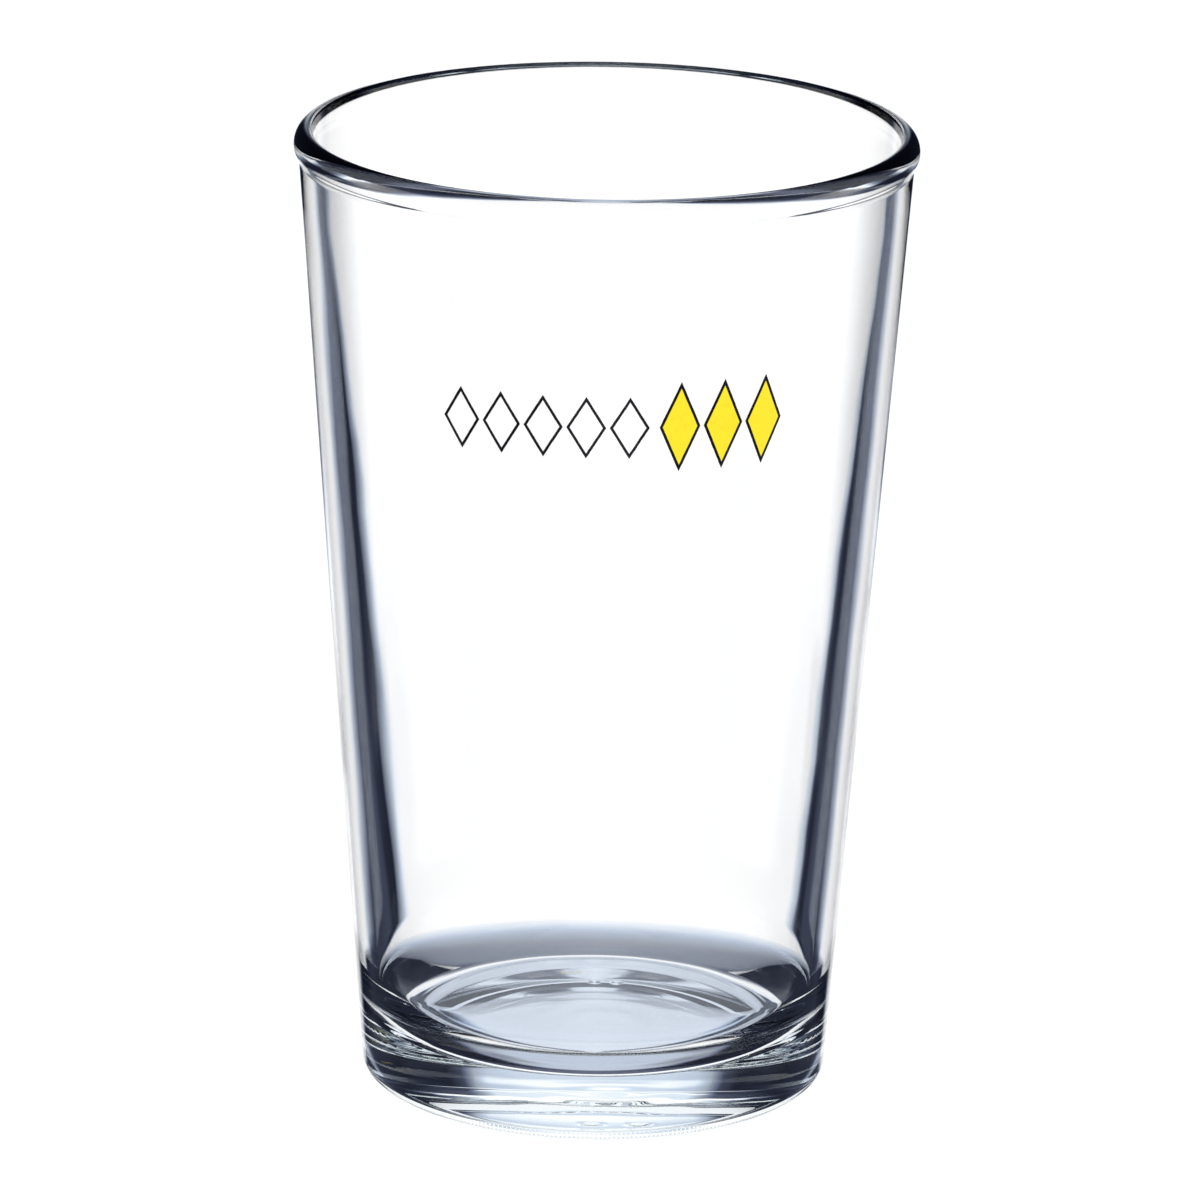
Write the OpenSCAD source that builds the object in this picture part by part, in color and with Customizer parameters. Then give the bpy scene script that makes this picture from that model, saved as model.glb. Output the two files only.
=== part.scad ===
// Conical pint tumbler: one piece of pressed and blown soda-lime glass with a beaded rim,
// a heavy base and a punt underneath, and an enamel print fired onto the front.

/* [Glass] */
// Height from the resting plane to the crest of the rim
glass_h = 142; // [112:1:175]
// Outer wall radius, produced up to the plane of the rim
mouth_r = 44.5; // [37:0.1:54]
// Outer wall radius, produced down to the resting plane
foot_r = 33.9; // [27:0.1:41]
// Wall thickness at the rim
mouth_wall = 2.2; // [1.6:0.1:3.2]
// Wall thickness at the foot
foot_wall = 3; // [2.2:0.1:4.5]

/* [Rim] */
// How far the bead stands proud of the wall
bead_proud = 0.6; // [0.2:0.1:1.5]
// Height of the bead, from the wall below it to the crest
bead_h = 4.8; // [3:0.1:8]
// Share of the bead's height that lies above its widest line
bead_high_share = 0.52; // [0.4:0.01:0.7]
// Height of the small round between the rim's crest and the inner wall
lip_round_h = 0.5; // [0.3:0.1:2]
// Distance of the rim's crest from the inner wall
crest_in = 0.6; // [0.3:0.1:1.4]

/* [Base] */
// Thickness of the base where the flat of the floor ends
floor_t = 8.7; // [6:0.1:14]
// Radius of the curve that brings the inner wall down to the edge of the floor
floor_curve = 11; // [9:0.5:14]
// Distance of the floor's crisp edge from the inner wall, produced down to the floor
floor_edge_in = 5.9; // [4:0.1:8]
// How far the middle of the floor is raised above its edge
floor_crown = 1; // [0.1:0.1:3]
// Radius of the rounded heel between the wall and the resting plane
heel_r = 2.6; // [1:0.1:5]
// Width of the flat resting ring, from the heel in to the punt
ring_w = 6; // [3:0.1:14]
// Height of the punt above the resting plane at its centre
punt_rise = 2; // [0.8:0.1:4]

/* [Mould marks] */
// Number of raised pips left by the mould in the punt
pip_count = 2; // [1:1:4]
// Distance from one pip to the next
pip_pitch = 3.3; // [2.4:0.1:5]
// Distance of the row of pips from the edge of the punt
pip_inset = 8; // [4:0.1:16]
// Radius of the ball that cuts one pip
pip_ball_r = 1; // [0.6:0.1:1.2]
// How far a pip stands out of the punt
pip_proud = 0.3; // [0.1:0.05:0.4]

/* [Print] */
// Distance from the crest of the rim down to the middle of the print
print_drop = 33; // [20:1:70]
// Distance round the wall from the front line to the left end of the print
print_left = 23.4; // [15:0.1:30]
// Number of open black lozenges
open_count = 5; // [1:1:6]
// Width of one open lozenge, measured round the wall
open_w = 5.6; // [3:0.1:7]
// Height of one open lozenge
open_h = 9.1; // [6:0.1:14]
// Number of filled yellow lozenges with a black border
filled_count = 3; // [1:1:5]
// Width of one filled lozenge with its border
filled_w = 5.9; // [3:0.1:7]
// Height of one filled lozenge with its border
filled_h = 13.2; // [8:0.1:18]
// Width of the printed black line
line_w = 0.4; // [0.2:0.05:0.6]
// Gap between two lozenges of a group
lozenge_gap = 0.5; // [0.2:0.1:2]
// Gap between the open group and the filled group
group_gap = 1.4; // [0.5:0.1:4]
// Thickness of the fired enamel film
film_t = 0.1; // [0.05:0.05:0.2]

/* [Hidden] */
// Slope of the outer and the inner wall, in radius per height
outer_slope = (mouth_r - foot_r) / glass_h;
inner_slope = (mouth_r - mouth_wall - foot_r + foot_wall) / glass_h;
outer_lean = atan(outer_slope);
inner_lean = atan(inner_slope);
// Segments of a quarter round and of the longer shallow curves
arc_steps = 10;
dome_steps = 12;
// Radius and height of the bead's widest line, of its foot and of the rim's crest
bead_z = glass_h - bead_h * bead_high_share;
bead_foot_z = glass_h - bead_h;
bead_r = outer_r(bead_z) + bead_proud;
lip_z = glass_h - lip_round_h;
crest_r = inner_r(lip_z) + crest_in;
// Centre of the heel's round
heel_centre_r = outer_r(heel_r) - heel_r / cos(outer_lean);
// Radius of the floor's edge, and the centre of the curve that meets it and is tangent to the inner wall
floor_edge_r = inner_r(floor_t) - floor_edge_in;
curve_run = floor_curve / cos(inner_lean) - floor_edge_in;
curve_rise = (inner_slope * curve_run
    + sqrt(pow(floor_curve, 2) * (1 + pow(inner_slope, 2)) - pow(curve_run, 2)))
    / (1 + pow(inner_slope, 2));
curve_z = floor_t + curve_rise;
curve_centre_r = floor_edge_r - curve_run + inner_slope * curve_rise;
// Radius of the punt, its row of pips, and the sphere that it is part of
punt_r = heel_centre_r - ring_w;
pip_reach = punt_r - pip_inset;
punt_ball_r = (punt_r * punt_r + punt_rise * punt_rise) / (2 * punt_rise);
// Height and radius of the print, and the distance round the wall to the left end of each group
print_z = glass_h - print_drop;
print_r = outer_r(print_z);
open_left = -print_left;
open_span = open_count * (open_w + lozenge_gap) - lozenge_gap;
filled_left = open_left + open_span + group_gap;
// Depth of the tool that cuts a lozenge out of the film
cutter_depth = print_r + 10;
// Roundness of the revolved solids
turn_fn = 180;

// Radius of the outer and of the inner wall at height z
function outer_r(z) = foot_r + outer_slope * z;
function inner_r(z) = foot_r - foot_wall + inner_slope * z;

// Height of the underside at radius r, within the punt
function punt_z(r) = sqrt(punt_ball_r * punt_ball_r - r * r) - punt_ball_r + punt_rise;

// Points of an elliptical arc about (cr, cz), from angle a to angle b
function arc(cr, cz, rr, rz, a, b, steps) =
    [for (i = [0:steps]) let (t = a + (b - a) * i / steps) [cr + rr * cos(t), cz + rz * sin(t)]];

// The underside: the domed punt, then the heel's round at the end of the flat resting ring
function underside_points() = concat(
    [for (i = [0:dome_steps]) let (r = punt_r * i / dome_steps) [r, punt_z(r)]],
    arc(heel_centre_r, heel_r, heel_r, heel_r, -90, -outer_lean, arc_steps)
);

// The bead: it swells out of the wall, then rounds over the crest into the inner wall
function rim_points() = concat(
    [for (i = [0:arc_steps])
        let (t = i / arc_steps, foot = outer_r(bead_foot_z))
        [bead_r - (bead_r - foot) * (1 + cos(180 * t)) / 2, bead_foot_z + (bead_z - bead_foot_z) * t]],
    [for (p = arc(crest_r, bead_z, bead_r - crest_r, glass_h - bead_z, 0, 90, arc_steps)) if (p[0] < bead_r) p],
    [for (p = arc(crest_r, lip_z, crest_r - inner_r(lip_z), lip_round_h, 90, 180, arc_steps))
        if (p[0] < crest_r) p]
);

// The cavity: the curve down to the floor's crisp edge, then the low crown of the floor
function cavity_points() = concat(
    arc(curve_centre_r, curve_z, floor_curve, floor_curve,
        -inner_lean, -atan2(curve_rise, floor_edge_r - curve_centre_r), arc_steps),
    [for (i = [dome_steps - 1:-1:0])
        let (t = i / dome_steps)
        [floor_edge_r * t, floor_t + floor_crown * (1 + cos(180 * t)) / 2]]
);

// One mould pip: a low round cap that hangs from the punt
module pip(x) {
    reach = sqrt(x * x + pip_reach * pip_reach);
    translate([x, pip_reach, punt_z(reach) + pip_ball_r - pip_proud])
        sphere(r = pip_ball_r, $fn = 48);
}

// Body of clear glass
module glass_body() {
    color("lightcyan", 0.5)
        union() {
            rotate_extrude($fn = turn_fn)
                polygon(concat(underside_points(), rim_points(), cavity_points()));
            for (i = [0:pip_count - 1])
                pip(i * pip_pitch);
        }
}

// Conical film of enamel on the outer wall, over the height of a lozenge
module film(height) {
    low = print_z - height / 2;
    high = print_z + height / 2;
    rotate_extrude($fn = turn_fn)
        polygon([
            [outer_r(low), low],
            [outer_r(low) + film_t, low],
            [outer_r(high) + film_t, high],
            [outer_r(high), high]
        ]);
}

// Lozenge of width w and height h, drawn smaller by an even inset all round
module lozenge(w, h, inset) {
    edge_reach = w * h / (2 * sqrt(w * w + h * h));
    share = (edge_reach - inset) / edge_reach;
    polygon([
        [-share * w / 2, 0],
        [0, -share * h / 2],
        [share * w / 2, 0],
        [0, share * h / 2]
    ]);
}

// Turns a flat shape to face out of the wall, at a distance round it from the front line
module on_wall(distance) {
    rotate([0, 0, distance / print_r * 180 / PI])
        translate([0, 0, print_z])
            rotate([90, 0, 0])
                linear_extrude(height = cutter_depth)
                    children();
}

// Distance round the wall to the middle of lozenge i of a group
function lozenge_place(left, w, i) = left + w / 2 + (i - 1) * (w + lozenge_gap);

// One lozenge drawn in black line
module black_lozenge(distance, w, h) {
    color("black")
        intersection() {
            film(h);
            on_wall(distance)
                difference() {
                    lozenge(w, h, 0);
                    lozenge(w, h, line_w);
                }
        }
}

// One open lozenge
module open_lozenge(i) {
    black_lozenge(lozenge_place(open_left, open_w, i), open_w, open_h);
}

// Black border of one filled lozenge
module lozenge_border(i) {
    black_lozenge(lozenge_place(filled_left, filled_w, i), filled_w, filled_h);
}

// Yellow fill, which ends where its border begins
module lozenge_fill(i) {
    color("gold")
        intersection() {
            film(filled_h);
            on_wall(lozenge_place(filled_left, filled_w, i))
                lozenge(filled_w, filled_h, line_w);
        }
}

glass_body();
for (i = [1:open_count])
    open_lozenge(i);
for (i = [1:filled_count])
    lozenge_border(i);
for (i = [1:filled_count])
    lozenge_fill(i);
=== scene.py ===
import math

import bmesh
import bpy
from mathutils import Matrix, Vector, noise


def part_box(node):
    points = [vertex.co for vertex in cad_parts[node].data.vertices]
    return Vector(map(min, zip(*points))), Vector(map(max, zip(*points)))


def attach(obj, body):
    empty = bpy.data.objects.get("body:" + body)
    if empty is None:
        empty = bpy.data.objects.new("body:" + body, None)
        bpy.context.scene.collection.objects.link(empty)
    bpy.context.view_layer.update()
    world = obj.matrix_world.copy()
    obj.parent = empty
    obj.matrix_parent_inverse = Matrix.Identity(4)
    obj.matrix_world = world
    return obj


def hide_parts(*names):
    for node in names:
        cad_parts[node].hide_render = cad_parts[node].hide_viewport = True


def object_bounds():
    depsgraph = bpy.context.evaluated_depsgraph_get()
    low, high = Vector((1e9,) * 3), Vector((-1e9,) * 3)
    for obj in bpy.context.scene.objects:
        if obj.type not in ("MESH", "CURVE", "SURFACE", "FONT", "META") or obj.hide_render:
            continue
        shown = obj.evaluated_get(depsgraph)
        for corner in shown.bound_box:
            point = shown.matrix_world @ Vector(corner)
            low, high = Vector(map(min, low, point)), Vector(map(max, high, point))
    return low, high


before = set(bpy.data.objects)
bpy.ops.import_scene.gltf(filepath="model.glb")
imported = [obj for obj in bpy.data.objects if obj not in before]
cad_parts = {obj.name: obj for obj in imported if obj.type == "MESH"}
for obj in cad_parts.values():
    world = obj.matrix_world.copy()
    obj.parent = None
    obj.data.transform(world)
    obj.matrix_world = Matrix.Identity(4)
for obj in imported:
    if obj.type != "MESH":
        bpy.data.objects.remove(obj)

CAD_LOW, CAD_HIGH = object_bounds()
MM = 0.001

# ---------------------------------------------------------------------------
# Camera: a long lens, a little above the mouth, turned by the slight lean that
# the glass has in the frame.
# ---------------------------------------------------------------------------
glass_high = CAD_HIGH.z - CAD_LOW.z
view_lens = 259.0
view_sensor = 36.0
view_elevation = math.radians(16.4)
view_roll = math.radians(0.89)
view_distance = 8.844 * glass_high
view_middle = 0.5044 * glass_high
view_target = Vector((0, 0, view_middle))


def new_camera():
    """The camera, aimed at the target and rolled about its own line of sight."""
    data = bpy.data.cameras.new("view")
    data.lens = view_lens
    data.sensor_width = view_sensor
    camera = bpy.data.objects.new("view", data)
    back = Vector((0, -math.cos(view_elevation), math.sin(view_elevation)))
    aim = back.to_track_quat("Z", "Y").to_matrix().to_4x4()
    camera.matrix_world = (
        Matrix.Translation(view_target + back * view_distance) @ aim @ Matrix.Rotation(view_roll, 4, "Z")
    )
    bpy.context.scene.collection.objects.link(camera)
    return camera


bpy.context.scene.camera = new_camera()

# ---------------------------------------------------------------------------
# Studio: a pale floor and a white surround that light the glass softly from all
# round. Only the glass sees the dark cards between the white panels, and a glowing
# grey ring of painted shade on the table close round its foot, which draws its edges.
# ---------------------------------------------------------------------------
bpy.context.scene.view_settings.view_transform = "Standard"
most_bounces = 32
most_mirror_bounces = 24
most_clear_bounces = 16
bpy.context.scene.cycles.max_bounces = most_bounces
bpy.context.scene.cycles.transmission_bounces = most_bounces
bpy.context.scene.cycles.glossy_bounces = most_mirror_bounces
bpy.context.scene.cycles.transparent_max_bounces = most_clear_bounces


class Nodes:
    """Adds shader nodes to a tree and joins them in one line each."""

    def __init__(self, tree):
        self.tree = tree
        tree.nodes.clear()

    def add(self, kind, settings=None, **sockets):
        """A node of that kind, with its settings and its input sockets set by name."""
        node = self.tree.nodes.new(kind)
        for key, value in (settings or {}).items():
            setattr(node, key, value)
        for key, value in sockets.items():
            self.put(node, key.replace("_", " "), value)
        return node

    def put(self, node, socket, value):
        """Sets one input, by a link where the value is another node's output."""
        target = node.inputs[int(socket)] if socket.isdigit() else node.inputs[socket]
        if isinstance(value, bpy.types.NodeSocket):
            self.tree.links.new(value, target)
        else:
            target.default_value = value

    def math(self, operation, a, b=0.0):
        """The output of a Math node."""
        node = self.add("ShaderNodeMath", {"operation": operation})
        self.put(node, "0", a)
        self.put(node, "1", b)
        return node.outputs[0]

    def at_least(self, value, count):
        """1 where a whole number has come to the count, else 0."""
        return self.math("GREATER_THAN", value, count - 0.5)

    def rise(self, value, low, high):
        """0 at low and 1 at high, whichever is the greater, with a smooth step between them."""
        node = self.add("ShaderNodeMapRange", {"interpolation_type": "SMOOTHSTEP"}, Value=value)
        for socket, limit in (("From Min", low), ("From Max", high), ("To Min", 0.0), ("To Max", 1.0)):
            self.put(node, socket, limit)
        return node.outputs[0]

    def blend(self, share, a, b):
        """The number a, going over to b as the share goes from 0 to 1."""
        node = self.add("ShaderNodeMix", {"data_type": "FLOAT"})
        for i, value in ((0, share), (2, a), (3, b)):
            self.put(node, str(i), value)
        return node.outputs[0]

    def mix(self, share, first, second):
        """A Mix Shader from the first shader to the second."""
        node = self.add("ShaderNodeMixShader")
        for i, value in enumerate((share, first.outputs[0], second.outputs[0])):
            self.put(node, str(i), value)
        return node

    def tint(self, share, first, second):
        """A colour between two plain colours."""
        node = self.add("ShaderNodeMix", {"data_type": "RGBA"})
        for i, value in ((0, share), (6, (*first, 1)), (7, (*second, 1))):
            self.put(node, str(i), value)
        return node.outputs[2]

    def finish(self, kind, **shaders):
        """The output node of a material or a world, joined to its shaders."""
        out = self.add(f"ShaderNodeOutput{kind}")
        for socket, shader in shaders.items():
            self.put(out, socket, shader.outputs[0])

    def zones(self, value, first, *others):
        """The first number, going over to each of the others in turn between its own two limits."""
        for (low, high), other in others:
            first = self.blend(self.rise(value, low, high), first, other)
        return first

    def curve(self, value, stops):
        """A number that follows the stops, given as (value, number), and holds past their ends."""
        low, high = stops[0][0], stops[-1][0]
        place = self.math("DIVIDE", self.math("SUBTRACT", value, low), high - low)
        return self.colours(place, [((at - low) / (high - low), (number,) * 3) for at, number in stops])

    def colours(self, place, stops):
        """A colour that follows the stops, given as (place, colour)."""
        ramp = self.add("ShaderNodeValToRGB", Fac=place)
        while len(ramp.color_ramp.elements) < len(stops):
            ramp.color_ramp.elements.new(0.5)
        for element, (at, colour) in zip(ramp.color_ramp.elements, stops):
            element.position = at
            element.color = (*colour, 1)
        return ramp.outputs["Color"]


panel_strength = 1.2
matt_strength = 1.15
card_tones = (
    (0.00, (0.002, 0.003, 0.005)),
    (0.14, (0.010, 0.012, 0.023)),
    (0.30, (0.052, 0.060, 0.094)),
    (0.44, (0.127, 0.150, 0.226)),
    (0.62, (0.290, 0.318, 0.370)),
    (0.80, (0.500, 0.570, 0.690)),
    (0.92, (0.760, 0.820, 0.900)),
    (1.00, (1.000, 1.000, 1.000)),
)
white_tone = 1.0
bright_tone = 0.97
pale_tone = 0.76
grey_tone = 0.34
dark_tone = 0.14
dim_tone = 0.12
black_tone = 0.10
card_turn = 45.0
panel_turn = 90.0


def bearing_and_height(n, way):
    """The bearing from +Y and the height over the horizon of a direction, in degrees."""
    axes = n.add("ShaderNodeSeparateXYZ", Vector=way)
    bearing = n.math("DEGREES", n.math("ARCTAN2", axes.outputs["X"], axes.outputs["Y"]))
    height = n.math("DEGREES", n.math("ARCSINE", axes.outputs["Z"]))
    return bearing, height


def from_middle(n, bearing, turn):
    """How far a bearing is from the nearest whole number of turns, with its sign."""
    return n.math("SUBTRACT", n.math("FLOORED_MODULO", n.math("ADD", bearing, turn / 2), turn), turn / 2)


# Tones run from 0, a black card, to 1, a white panel. The stops of a card give its tone at bearings off
# the middle of the nearest panel, and the zones give the heights between which cards change, in degrees.
def through_cup_tone(n, beside, height):
    """What is seen through the whole cup: white, with a dark card up each side that widens downwards."""
    spread = n.curve(height, ((-20.0, 1.22), (-18.4, 1.09), (-17.0, 1.0), (-15.3, 0.74)))
    card = n.curve(n.math("MULTIPLY", beside, spread), (
        (-25.0, 0.26), (-18.6, 0.30), (-17.0, 0.28), (-15.5, 0.14), (-13.0, 0.05),
        (-12.2, 0.45), (-11.0, 0.72), (-10.0, 0.96), (-9.3, 1.0), (10.8, 1.0),
        (12.4, 0.80), (13.4, 0.24), (14.8, 0.08), (17.5, 0.28), (25.0, 0.32),
    ))
    low_card = n.curve(n.math("ABSOLUTE", beside), (
        (0.0, 1.0), (9.0, 1.0), (12.0, 0.40), (15.0, 0.22), (22.5, 0.12),
    ))
    return n.zones(height, card, ((-23.0, -31.0), low_card))


def in_wall_tone(n, across, height, twice):
    """What is seen in the thickness of the bead, the wall and the base, in zones of height."""
    foot = n.curve(across, (
        (0.0, 0.86), (12.0, 0.83), (18.0, 0.78), (21.0, 0.66), (24.0, 0.27),
        (28.0, 0.12), (38.0, 0.13), (45.0, 0.04),
    ))
    gleam = n.curve(height, ((10.0, 0.0), (14.0, 0.0), (17.0, 0.14), (19.5, 0.14), (22.0, 0.0)))
    foot = n.math("ADD", foot, n.math("MULTIPLY", gleam, n.rise(across, 22.0, 18.0)))
    lip = n.curve(across, (
        (0.0, 1.0), (17.0, 1.0), (21.0, 0.74), (25.0, 0.40), (30.0, 0.16), (45.0, 0.08),
    ))
    wall = n.curve(across, (
        (0.0, 1.0), (26.0, 1.0), (29.0, 0.94), (32.0, 0.72), (35.0, 0.48),
        (38.0, 0.32), (41.0, 0.18), (45.0, 0.14),
    ))
    wall_end = n.math("MULTIPLY", n.rise(height, -21.8, -22.8), n.rise(across, 20.0, 24.0))
    wall = n.blend(wall_end, wall, dark_tone)
    table = n.curve(across, ((0.0, 0.36), (9.0, 0.30), (15.0, 0.12), (30.0, 0.06), (45.0, 0.06)))
    again = n.curve(across, ((0.0, 0.95), (18.0, 0.88), (24.0, 0.34), (45.0, 0.08)))
    table = n.blend(twice, table, again)
    below = n.curve(across, ((0.0, 0.76), (18.0, 0.72), (30.0, 0.58), (45.0, 0.50)))
    return n.zones(
        height, foot,
        ((6.0, 2.0), lip),
        ((-13.0, -15.5), wall),
        ((-22.8, -25.5), table),
        ((-50.0, -58.0), n.zones(height, below, ((-62.0, -72.0), pale_tone))),
        ((30.0, 37.0), bright_tone),
    )


def off_outside_tone(n, across, height):
    """What the outside of the glass mirrors: white in front, darker to the sides and above."""
    edge = n.curve(across, (
        (0.0, 1.0), (19.0, 1.0), (26.0, 0.16), (37.0, 0.14), (43.0, 0.42), (45.0, 0.44),
    ))
    high_edge = n.zones(across, white_tone, ((6.0, 12.0), dark_tone))
    return n.zones(
        height, edge,
        ((-17.5, -15.5), high_edge),
        ((-20.8, -22.5), grey_tone),
        ((8.0, 20.0), dim_tone),
    )


def stray_tone(n, across, height, twice):
    """What is seen after a turn inside the cup: softer copies of the cards."""
    upward = n.curve(across, ((0.0, 0.90), (20.0, 0.84), (28.0, 0.36), (45.0, 0.14)))
    level = n.curve(across, ((0.0, 0.90), (14.0, 0.84), (22.0, 0.18), (45.0, 0.12)))
    level = n.blend(n.math("MAXIMUM", twice, n.rise(height, -22.0, -26.0)), level, dim_tone)
    return n.zones(height, level, ((-9.0, 0.0), upward))


def make_world():
    """Plain white to the camera and to matt surfaces; white panels and dark cards to the glass."""
    world = bpy.data.worlds.new("studio")
    world.use_nodes = True
    bpy.context.scene.world = world
    n = Nodes(world.node_tree)
    bearing, height = bearing_and_height(n, n.add("ShaderNodeTexCoord").outputs["Generated"])
    beside = from_middle(n, bearing, card_turn)
    across = n.math("ABSOLUTE", from_middle(n, bearing, panel_turn))
    path = n.add("ShaderNodeLightPath")
    passed = path.outputs["Transmission Depth"]
    mirrored = path.outputs["Glossy Depth"]
    entered = n.at_least(passed, 1)
    deep = n.at_least(passed, 3)
    bounced = n.at_least(mirrored, 1)
    twice = n.at_least(mirrored, 2)

    through_cup = through_cup_tone(n, beside, height)
    stray = stray_tone(n, across, height, twice)
    in_wall = n.blend(bounced, white_tone, in_wall_tone(n, across, height, twice))
    inside = n.blend(deep, in_wall, n.blend(bounced, through_cup, stray))
    # Light that turns again and again in the thick base comes from the dark sides of the studio.
    turns = n.math("SUBTRACT", mirrored, n.math("SUBTRACT", 1.0, deep))
    busy = n.math("MULTIPLY", n.at_least(turns, 3), n.rise(height, 55.0, 40.0))
    inside = n.blend(busy, inside, black_tone)
    tone = n.blend(entered, off_outside_tone(n, across, height), inside)

    seen = n.add("ShaderNodeBackground", Color=n.colours(tone, card_tones), Strength=panel_strength)
    plain = n.add("ShaderNodeBackground", Color=(1, 1, 1, 1), Strength=1.0)
    lamp = n.add("ShaderNodeBackground", Color=(1, 1, 1, 1), Strength=matt_strength)
    matt = n.mix(path.outputs["Is Diffuse Ray"], seen, lamp)
    eye = n.mix(path.outputs["Is Camera Ray"], matt, plain)
    n.finish("World", Surface=eye)


make_world()


def new_object(name, bm, material, smooth=True):
    """A finished piece at the origin, from a bmesh that it uses up."""
    mesh = bpy.data.meshes.new(name)
    bm.to_mesh(mesh)
    bm.free()
    for face in mesh.polygons:
        face.use_smooth = smooth
    mesh.materials.append(material)
    piece = bpy.data.objects.new(name, mesh)
    bpy.context.scene.collection.objects.link(piece)
    return piece


def new_material(name):
    """An empty node material and the helper that fills it."""
    material = bpy.data.materials.new(name)
    material.use_nodes = True
    return material, Nodes(material.node_tree)


floor_half = 6.0
board_scale = 4.0
board_low = 0.93
board_high = 0.96


def floor_material():
    """Pale matt board."""
    material, n = new_material("studio_floor")
    spot = n.add("ShaderNodeTexCoord").outputs["Object"]
    grain = n.add("ShaderNodeTexNoise", Vector=spot, Scale=board_scale)
    shade = n.add("ShaderNodeMapRange", Value=grain.outputs["Fac"])
    n.put(shade, "To Min", board_low)
    n.put(shade, "To Max", board_high)
    n.finish("Material", Surface=n.add("ShaderNodeBsdfDiffuse", Color=shade.outputs[0]))
    return material


bm = bmesh.new()
bmesh.ops.create_grid(bm, x_segments=1, y_segments=1, size=floor_half)
floor = new_object("studio_floor", bm, floor_material(), smooth=False)
floor.visible_transmission = False
floor.visible_glossy = False

# A disc just under the floor, seen only through the glass. It glows with a grey ring of painted shadow
# round the foot and tints what lies under the punt with painted shade.
shade_in = 35 * MM
shade_out = 52 * MM
shade_drop = 0.05 * MM
shade_steps = 96
painted_shade_under_glass = (0.60, 0.66, 0.76)


def table_material():
    """Painted shade on the table top, seen only through the cup: a glowing grey ring of painted shadow,
    and a pale painted shade inside it.
    """
    material, n = new_material("painted_table_shade")
    away = n.add("ShaderNodeVectorMath", {"operation": "LENGTH"})
    n.put(away, "0", n.add("ShaderNodeTexCoord").outputs["Object"])
    reach = away.outputs["Value"]
    share = n.math("DIVIDE", n.math("SUBTRACT", reach, shade_in), shade_out - shade_in)
    tone = n.curve(share, ((0.0, 0.56), (0.26, 0.60), (0.47, 0.72), (0.68, 0.89), (0.90, 1.0)))
    # The grey ring is painted shadow that glows; it is no lamp.
    painted_shade_glow = n.add("ShaderNodeEmission", Color=n.colours(tone, card_tones), Strength=panel_strength)
    path = n.add("ShaderNodeLightPath")
    through = n.at_least(path.outputs["Transmission Depth"], 3)
    turned = n.at_least(path.outputs["Glossy Depth"], 1)
    seen = n.math("MULTIPLY", through, n.math("SUBTRACT", 1.0, turned))
    # Painted shade under the glass: rays through the base take a grey-blue tint here.
    under = n.math("MULTIPLY", seen, n.rise(reach, shade_in, shade_in * 0.9))
    clear = n.add("ShaderNodeBsdfTransparent", Color=n.tint(under, (1, 1, 1), painted_shade_under_glass))
    ring = n.math("MULTIPLY", n.rise(share, 1.0, 0.80), n.rise(share, -0.05, 0.02))
    n.finish("Material", Surface=n.mix(n.math("MULTIPLY", seen, ring), clear, painted_shade_glow))
    return material


bm = bmesh.new()
bmesh.ops.create_circle(bm, cap_ends=True, segments=shade_steps, radius=shade_out)
bmesh.ops.translate(bm, vec=(0, 0, -shade_drop), verts=bm.verts)
# The sheet of painted shade, hidden from the camera and from lamps.
table = new_object("painted_table_shade", bm, table_material(), smooth=False)
table.visible_camera = False
table.visible_diffuse = False
table.visible_glossy = False
table.visible_shadow = False

# ---------------------------------------------------------------------------
# Glass body: one gob of soda-lime glass, pressed and blown in an iron mould, with
# the rim melted round into a bead. It rests on a flat ring round the punt of its
# heavy base, and the turn of the heel is stippled.
# ---------------------------------------------------------------------------
rim_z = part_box("glass_body")[1].z
mouth_r = 44.5 * MM
foot_r = 33.9 * MM
mouth_wall = 2.2 * MM
foot_wall = 3.0 * MM
bead_proud = 0.6 * MM
bead_high = 4.8 * MM
bead_share = 0.52
lip_round = 0.5 * MM
crest_in = 0.6 * MM
floor_thick = 8.7 * MM
floor_curve = 11.0 * MM
floor_edge_in = 5.9 * MM
floor_crown = 1.0 * MM
heel_r = 2.6 * MM
ring_wide = 6.0 * MM
punt_rise = 2.0 * MM
moat_wide = 1.3 * MM
moat_deep = 0.15 * MM
turn_steps = 320
punt_steps = 44
ring_steps = 7
heel_steps = 9
wall_steps = 24
bead_steps = 16
lip_steps = 14
curve_steps = 20
floor_steps = 30

outer_slope = (mouth_r - foot_r) / rim_z
inner_slope = (mouth_r - mouth_wall - foot_r + foot_wall) / rim_z
outer_lean = math.atan(outer_slope)
inner_lean = math.atan(inner_slope)


def outer_r(z):
    """Radius of the outside of the wall at that height."""
    return foot_r + outer_slope * z


def inner_r(z):
    """Radius of the inside of the wall at that height."""
    return foot_r - foot_wall + inner_slope * z


floor_edge_r = inner_r(floor_thick) - floor_edge_in
heel_mid = outer_r(heel_r) - heel_r / math.cos(outer_lean)
punt_r = heel_mid - ring_wide
punt_ball = (punt_r**2 + punt_rise**2) / (2 * punt_rise)


def arc(r, z, rr, rz, start, end, steps):
    """Points of an elliptical arc in the plane of the section, ends included."""
    turns = (start + (end - start) * i / steps for i in range(steps + 1))
    return [(r + rr * math.cos(t), z + rz * math.sin(t)) for t in turns]


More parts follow.
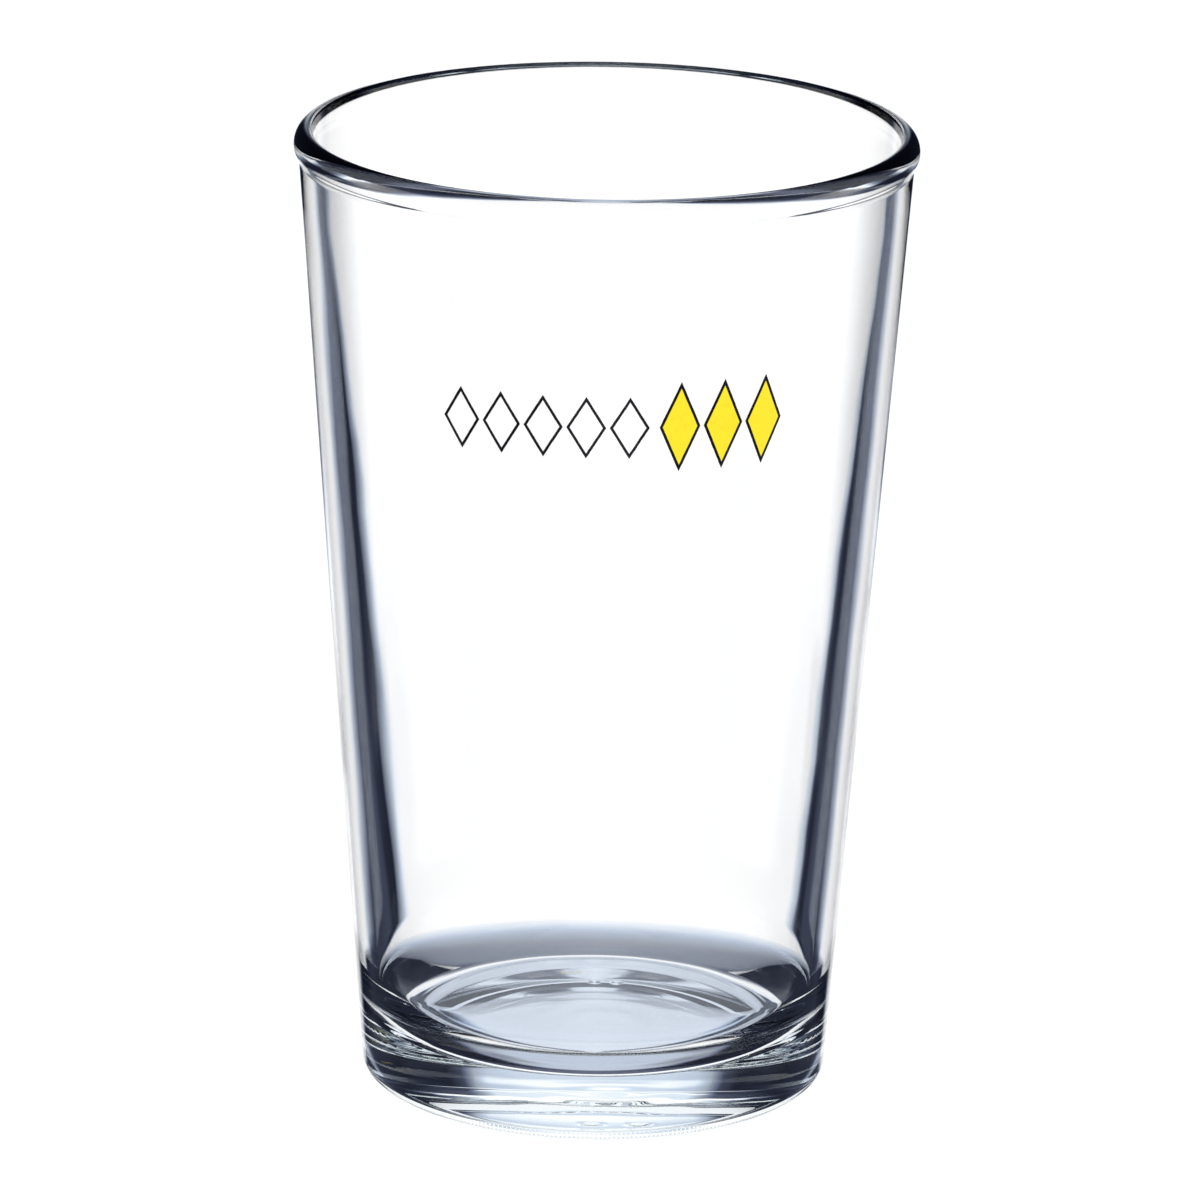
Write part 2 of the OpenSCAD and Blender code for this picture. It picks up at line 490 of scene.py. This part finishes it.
def glass_section():
    """The section from the middle of the punt, up the outside, over the rim and down to the floor."""
    points = []
    for i in range(punt_steps + 1):
        r = punt_r * i / punt_steps
        points.append((r, math.sqrt(punt_ball**2 - r**2) - punt_ball + punt_rise))
    for i in range(1, ring_steps):
        points.append((punt_r + ring_wide * i / ring_steps, 0.0))
    points += arc(heel_mid, heel_r, heel_r, heel_r, -math.pi / 2, -outer_lean, heel_steps)
    bead_z = rim_z - bead_high * bead_share
    bead_foot = rim_z - bead_high
    low_z = points[-1][1]
    for i in range(1, wall_steps):
        z = low_z + (bead_foot - low_z) * i / wall_steps
        points.append((outer_r(z), z))
    bead_r = outer_r(bead_z) + bead_proud
    for i in range(bead_steps + 1):
        t = i / bead_steps
        r = bead_r - (bead_r - outer_r(bead_foot)) * (1 + math.cos(math.pi * t)) / 2
        points.append((r, bead_foot + (bead_z - bead_foot) * t))
    lip_z = rim_z - lip_round
    crest_r = inner_r(lip_z) + crest_in
    points += arc(crest_r, bead_z, bead_r - crest_r, rim_z - bead_z, 0, math.pi / 2, bead_steps)[1:]
    points += arc(crest_r, lip_z, crest_in, lip_round, math.pi / 2, math.pi, lip_steps)[1:]
    run = floor_curve / math.cos(inner_lean) - floor_edge_in
    spread = 1 + inner_slope**2
    lift = (inner_slope * run + math.sqrt(floor_curve**2 * spread - run**2)) / spread
    curve_mid = floor_edge_r - run + inner_slope * lift
    curve_end = -math.atan2(lift, floor_edge_r - curve_mid)
    curve_z = floor_thick + lift
    curve = arc(curve_mid, curve_z, floor_curve, floor_curve, -inner_lean, curve_end, curve_steps)
    for i in range(1, wall_steps):
        z = lip_z + (curve[0][1] - lip_z) * i / wall_steps
        points.append((inner_r(z), z))
    points += curve
    for i in range(floor_steps - 1, -1, -1):
        r = floor_edge_r * i / floor_steps
        z = floor_thick + floor_crown * (1 + math.cos(math.pi * r / floor_edge_r)) / 2
        into_moat = (floor_edge_r - r) / moat_wide
        if into_moat < 1:
            z -= moat_deep * math.sin(math.pi * into_moat)
        points.append((r, z))
    return points


merge_under = 0.001 * MM


def spin_section(points):
    """The section turned once round the axis, closed at both poles, with its faces outwards."""
    bm = bmesh.new()
    verts = [bm.verts.new((r, 0, z)) for r, z in points]
    edges = [bm.edges.new(pair) for pair in zip(verts, verts[1:])]
    bmesh.ops.spin(
        bm, geom=verts + edges, cent=(0, 0, 0), axis=(0, 0, 1),
        angle=2 * math.pi, steps=turn_steps, use_merge=True,
    )
    bmesh.ops.remove_doubles(bm, verts=bm.verts, dist=merge_under)
    bmesh.ops.recalc_face_normals(bm, faces=bm.faces)
    return bm


swirl_middle = Vector((1.6 * MM, -3.0 * MM, 0))
swirl_high = 0.016 * MM
swirl_pitch = 5.5 * MM
swirl_reach = 10.0 * MM
pip_pitch = 3.3 * MM
pip_count = 2
pip_y = punt_r - 8.0 * MM
pip_ball = 1.0 * MM
pip_proud = 0.3 * MM


def shape_underside(bm):
    """Sets the chill ripples of the gob and the mould pips into the punt."""
    for vert in bm.verts:
        flat = Vector((vert.co.x, vert.co.y, 0))
        if vert.co.z > punt_rise + MM or flat.length > punt_r - MM:
            continue
        away = (flat - swirl_middle).length
        fade = math.exp(-(away / swirl_reach) ** 2)
        vert.co.z += swirl_high * fade * math.cos(2 * math.pi * away / swirl_pitch)
        for i in range(pip_count):
            off = (flat - Vector((i * pip_pitch, pip_y, 0))).length
            if off < pip_ball:
                cap = math.sqrt(pip_ball**2 - off**2) - pip_ball + pip_proud
                vert.co.z -= max(0.0, cap)


wave_high = 0.03 * MM
wave_long = 14.0 * MM
small_wave_long = wave_long / 2.7
small_wave_share = 0.4
wave_start = floor_thick + 2 * MM


def shape_cavity(bm):
    """Gives the inner wall the slight waviness that blowing leaves."""
    for vert in bm.verts:
        x, y, z = vert.co
        reach = math.hypot(x, y)
        if z < wave_start or z > rim_z - bead_high or reach > inner_r(z) + MM:
            continue
        swell = noise.noise(vert.co / wave_long)
        swell += small_wave_share * noise.noise(vert.co / small_wave_long)
        grow = 1 + wave_high * swell / reach
        vert.co.x *= grow
        vert.co.y *= grow


knurl_deep = 0.15 * MM
knurl_top = 1.6 * MM


def knurl_foot(bm):
    """Stipples the turn of the heel, as the mould does so that the hot glass slides on the belt."""
    patch = []
    for face in bm.faces:
        middle = face.calc_center_median()
        if middle.z < knurl_top and math.hypot(middle.x, middle.y) > heel_mid:
            patch.append(face)
    bmesh.ops.poke(bm, faces=patch, offset=-knurl_deep)


glass_ior = 1.52
glass_absorb = (0.76, 0.87, 0.86, 1)
glass_density = 4.0
glass_shade = (0.97, 0.975, 0.975, 1)


def glass_material():
    """Clear glass, faintly grey-green where it is thick, that lets lamps through to what it holds."""
    material, n = new_material("clear_glass")
    body = n.add("ShaderNodeBsdfPrincipled", Base_Color=(1, 1, 1, 1), Roughness=0.0, IOR=glass_ior)
    n.put(body, "Transmission Weight", 1.0)
    through = n.add("ShaderNodeBsdfTransparent", Color=glass_shade)
    path = n.add("ShaderNodeLightPath")
    lamps = n.math("MAXIMUM", path.outputs["Is Shadow Ray"], path.outputs["Is Diffuse Ray"])
    depth = n.add("ShaderNodeVolumeAbsorption", Color=glass_absorb, Density=glass_density)
    n.finish("Material", Surface=n.mix(lamps, body, through), Volume=depth)
    return material


bm = spin_section(glass_section())
shape_underside(bm)
shape_cavity(bm)
knurl_foot(bm)
glass = new_object("glass_body_clear", bm, glass_material())
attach(glass, "root")
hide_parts("glass_body")

# ---------------------------------------------------------------------------
# Print: ceramic enamel, screened round the wall in a black and a yellow pass and
# fired into the glass. Five open lozenges, then three filled ones.
# ---------------------------------------------------------------------------
print_drop = 33 * MM
print_z = rim_z - print_drop
print_r = outer_r(print_z)
open_left = -23.4 * MM
open_w = 5.6 * MM
open_high = 9.1 * MM
open_count = 5
filled_w = 5.9 * MM
filled_high = 13.2 * MM
filled_count = 3
line_w = 0.4 * MM
lozenge_gap = 0.5 * MM
group_gap = 1.4 * MM
film_out = 0.07 * MM
film_in = 0.02 * MM
edge_round = 0.03 * MM
edge_rough = 0.025 * MM
edge_grain = 0.7 * MM
edge_sharp = 1.0
strip_cuts = 15
up_grain = Vector((0, 9, 0))


def lozenge_corners(wide, high, inset):
    """The four corners of a lozenge drawn smaller by an even inset all round."""
    edge_reach = wide * high / (2 * math.hypot(wide, high))
    share = (edge_reach - inset) / edge_reach
    half_w, half_h = share * wide / 2, share * high / 2
    return [(-half_w, 0, 0), (0, 0, -half_h), (half_w, 0, 0), (0, 0, half_h)]


def wrap_film(bm, distance):
    """Thickens a flat print, then lays it on the wall at a distance round from the front line."""
    film = film_out + film_in
    made = bmesh.ops.extrude_face_region(bm, geom=bm.faces[:])
    for item in made["geom"]:
        if isinstance(item, bmesh.types.BMVert):
            item.co.y = -film
    bmesh.ops.recalc_face_normals(bm, faces=bm.faces)
    sharp = [edge for edge in bm.edges if edge.calc_face_angle(0) > edge_sharp]
    rim = [edge for edge in sharp if max(vert.co.y for vert in edge.verts) < -film / 2]
    bmesh.ops.bevel(
        bm, geom=rim, offset=edge_round, affect="EDGES", segments=2, profile=0.5, material=-1,
    )
    turn = Matrix.Rotation(distance / print_r, 3, "Z")
    for vert in bm.verts:
        proud = -vert.co.y - film_in
        spot = Vector((vert.co.x + distance, 0, vert.co.z)) / edge_grain
        vert.co.x += edge_rough * noise.noise(spot)
        vert.co.z += print_z + edge_rough * noise.noise(spot + up_grain)
        radius = outer_r(vert.co.z) + proud
        vert.co = turn @ Vector((vert.co.x, -math.sqrt(radius**2 - vert.co.x**2), vert.co.z))


def line_mesh(distance, wide, high):
    """A lozenge in line, as a frame of four strips."""
    bm = bmesh.new()
    outer = [bm.verts.new(co) for co in lozenge_corners(wide, high, 0)]
    inner = [bm.verts.new(co) for co in lozenge_corners(wide, high, line_w)]
    for i in range(len(outer)):
        j = (i + 1) % len(outer)
        bm.faces.new((outer[i], outer[j], inner[j], inner[i]))
    along = [edge for edge in bm.edges if (edge.verts[0] in outer) == (edge.verts[1] in outer)]
    bmesh.ops.subdivide_edges(bm, edges=along, cuts=strip_cuts, use_grid_fill=True)
    wrap_film(bm, distance)
    return bm


def fill_mesh(distance, wide, high):
    """The filled middle of a lozenge, up to its border."""
    bm = bmesh.new()
    bm.faces.new([bm.verts.new(co) for co in lozenge_corners(wide, high, line_w)])
    bmesh.ops.subdivide_edges(bm, edges=bm.edges[:], cuts=strip_cuts, use_grid_fill=True)
    wrap_film(bm, distance)
    return bm


cloud_scale = 900.0
speck_scale = 6000.0
weave_scale = 1300.0
thin_spots = (0.45, 0.75)
thin_most = 0.6
gloss_best = 0.22
gloss_worst = 0.42
weave_relief = 0.3
cloud_relief = 1.4
enamel_ior = 1.5


def enamel_material(name, base, deep):
    """Fired ceramic enamel: a dense colour, a soft gloss and the faint weave of the screen."""
    material, n = new_material(name)
    spot = n.add("ShaderNodeTexCoord").outputs["Object"]
    cloud = n.add("ShaderNodeTexNoise", Vector=spot, Scale=cloud_scale, Detail=4.0, Roughness=0.6)
    speck = n.add("ShaderNodeTexNoise", Vector=spot, Scale=speck_scale, Detail=2.0)
    thin = n.math("MULTIPLY", n.rise(cloud.outputs["Fac"], *thin_spots), thin_most)
    gloss = n.blend(speck.outputs["Fac"], gloss_best, gloss_worst)
    upright = n.add("ShaderNodeTexWave", {"bands_direction": "X"}, Vector=spot, Scale=weave_scale)
    level = n.add("ShaderNodeTexWave", {"bands_direction": "Z"}, Vector=spot, Scale=weave_scale)
    weave = n.math("MULTIPLY", n.math("ADD", upright.outputs["Fac"], level.outputs["Fac"]), weave_relief)
    relief = n.math("ADD", weave, n.math("MULTIPLY", cloud.outputs["Fac"], cloud_relief))
    bump = n.add("ShaderNodeBump", Height=relief, Strength=0.25, Distance=film_in)
    skin = n.add("ShaderNodeBsdfPrincipled", Roughness=gloss, Normal=bump.outputs[0], IOR=enamel_ior)
    n.put(skin, "Base Color", n.tint(thin, base, deep))
    n.finish("Material", Surface=skin)
    return material


black_ink = enamel_material("black_enamel", (0.006, 0.006, 0.008), (0.014, 0.014, 0.017))
yellow_ink = enamel_material("yellow_enamel", (1.0, 0.80, 0.008), (0.93, 0.70, 0.006))


def print_piece(name, bm, material, node):
    """One patch of enamel in place of its CAD node."""
    patch = new_object(name, bm, material, smooth=False)
    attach(patch, "root")
    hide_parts(node)


for i in range(open_count):
    place = open_left + open_w / 2 + i * (open_w + lozenge_gap)
    bm = line_mesh(place, open_w, open_high)
    print_piece(f"open_line_{i + 1}", bm, black_ink, f"open_lozenge_{i + 1}")

filled_left = open_left + open_count * (open_w + lozenge_gap) - lozenge_gap + group_gap
for i in range(filled_count):
    place = filled_left + filled_w / 2 + i * (filled_w + lozenge_gap)
    bm = line_mesh(place, filled_w, filled_high)
    print_piece(f"border_line_{i + 1}", bm, black_ink, f"lozenge_border_{i + 1}")
    bm = fill_mesh(place, filled_w, filled_high)
    print_piece(f"fill_patch_{i + 1}", bm, yellow_ink, f"lozenge_fill_{i + 1}")
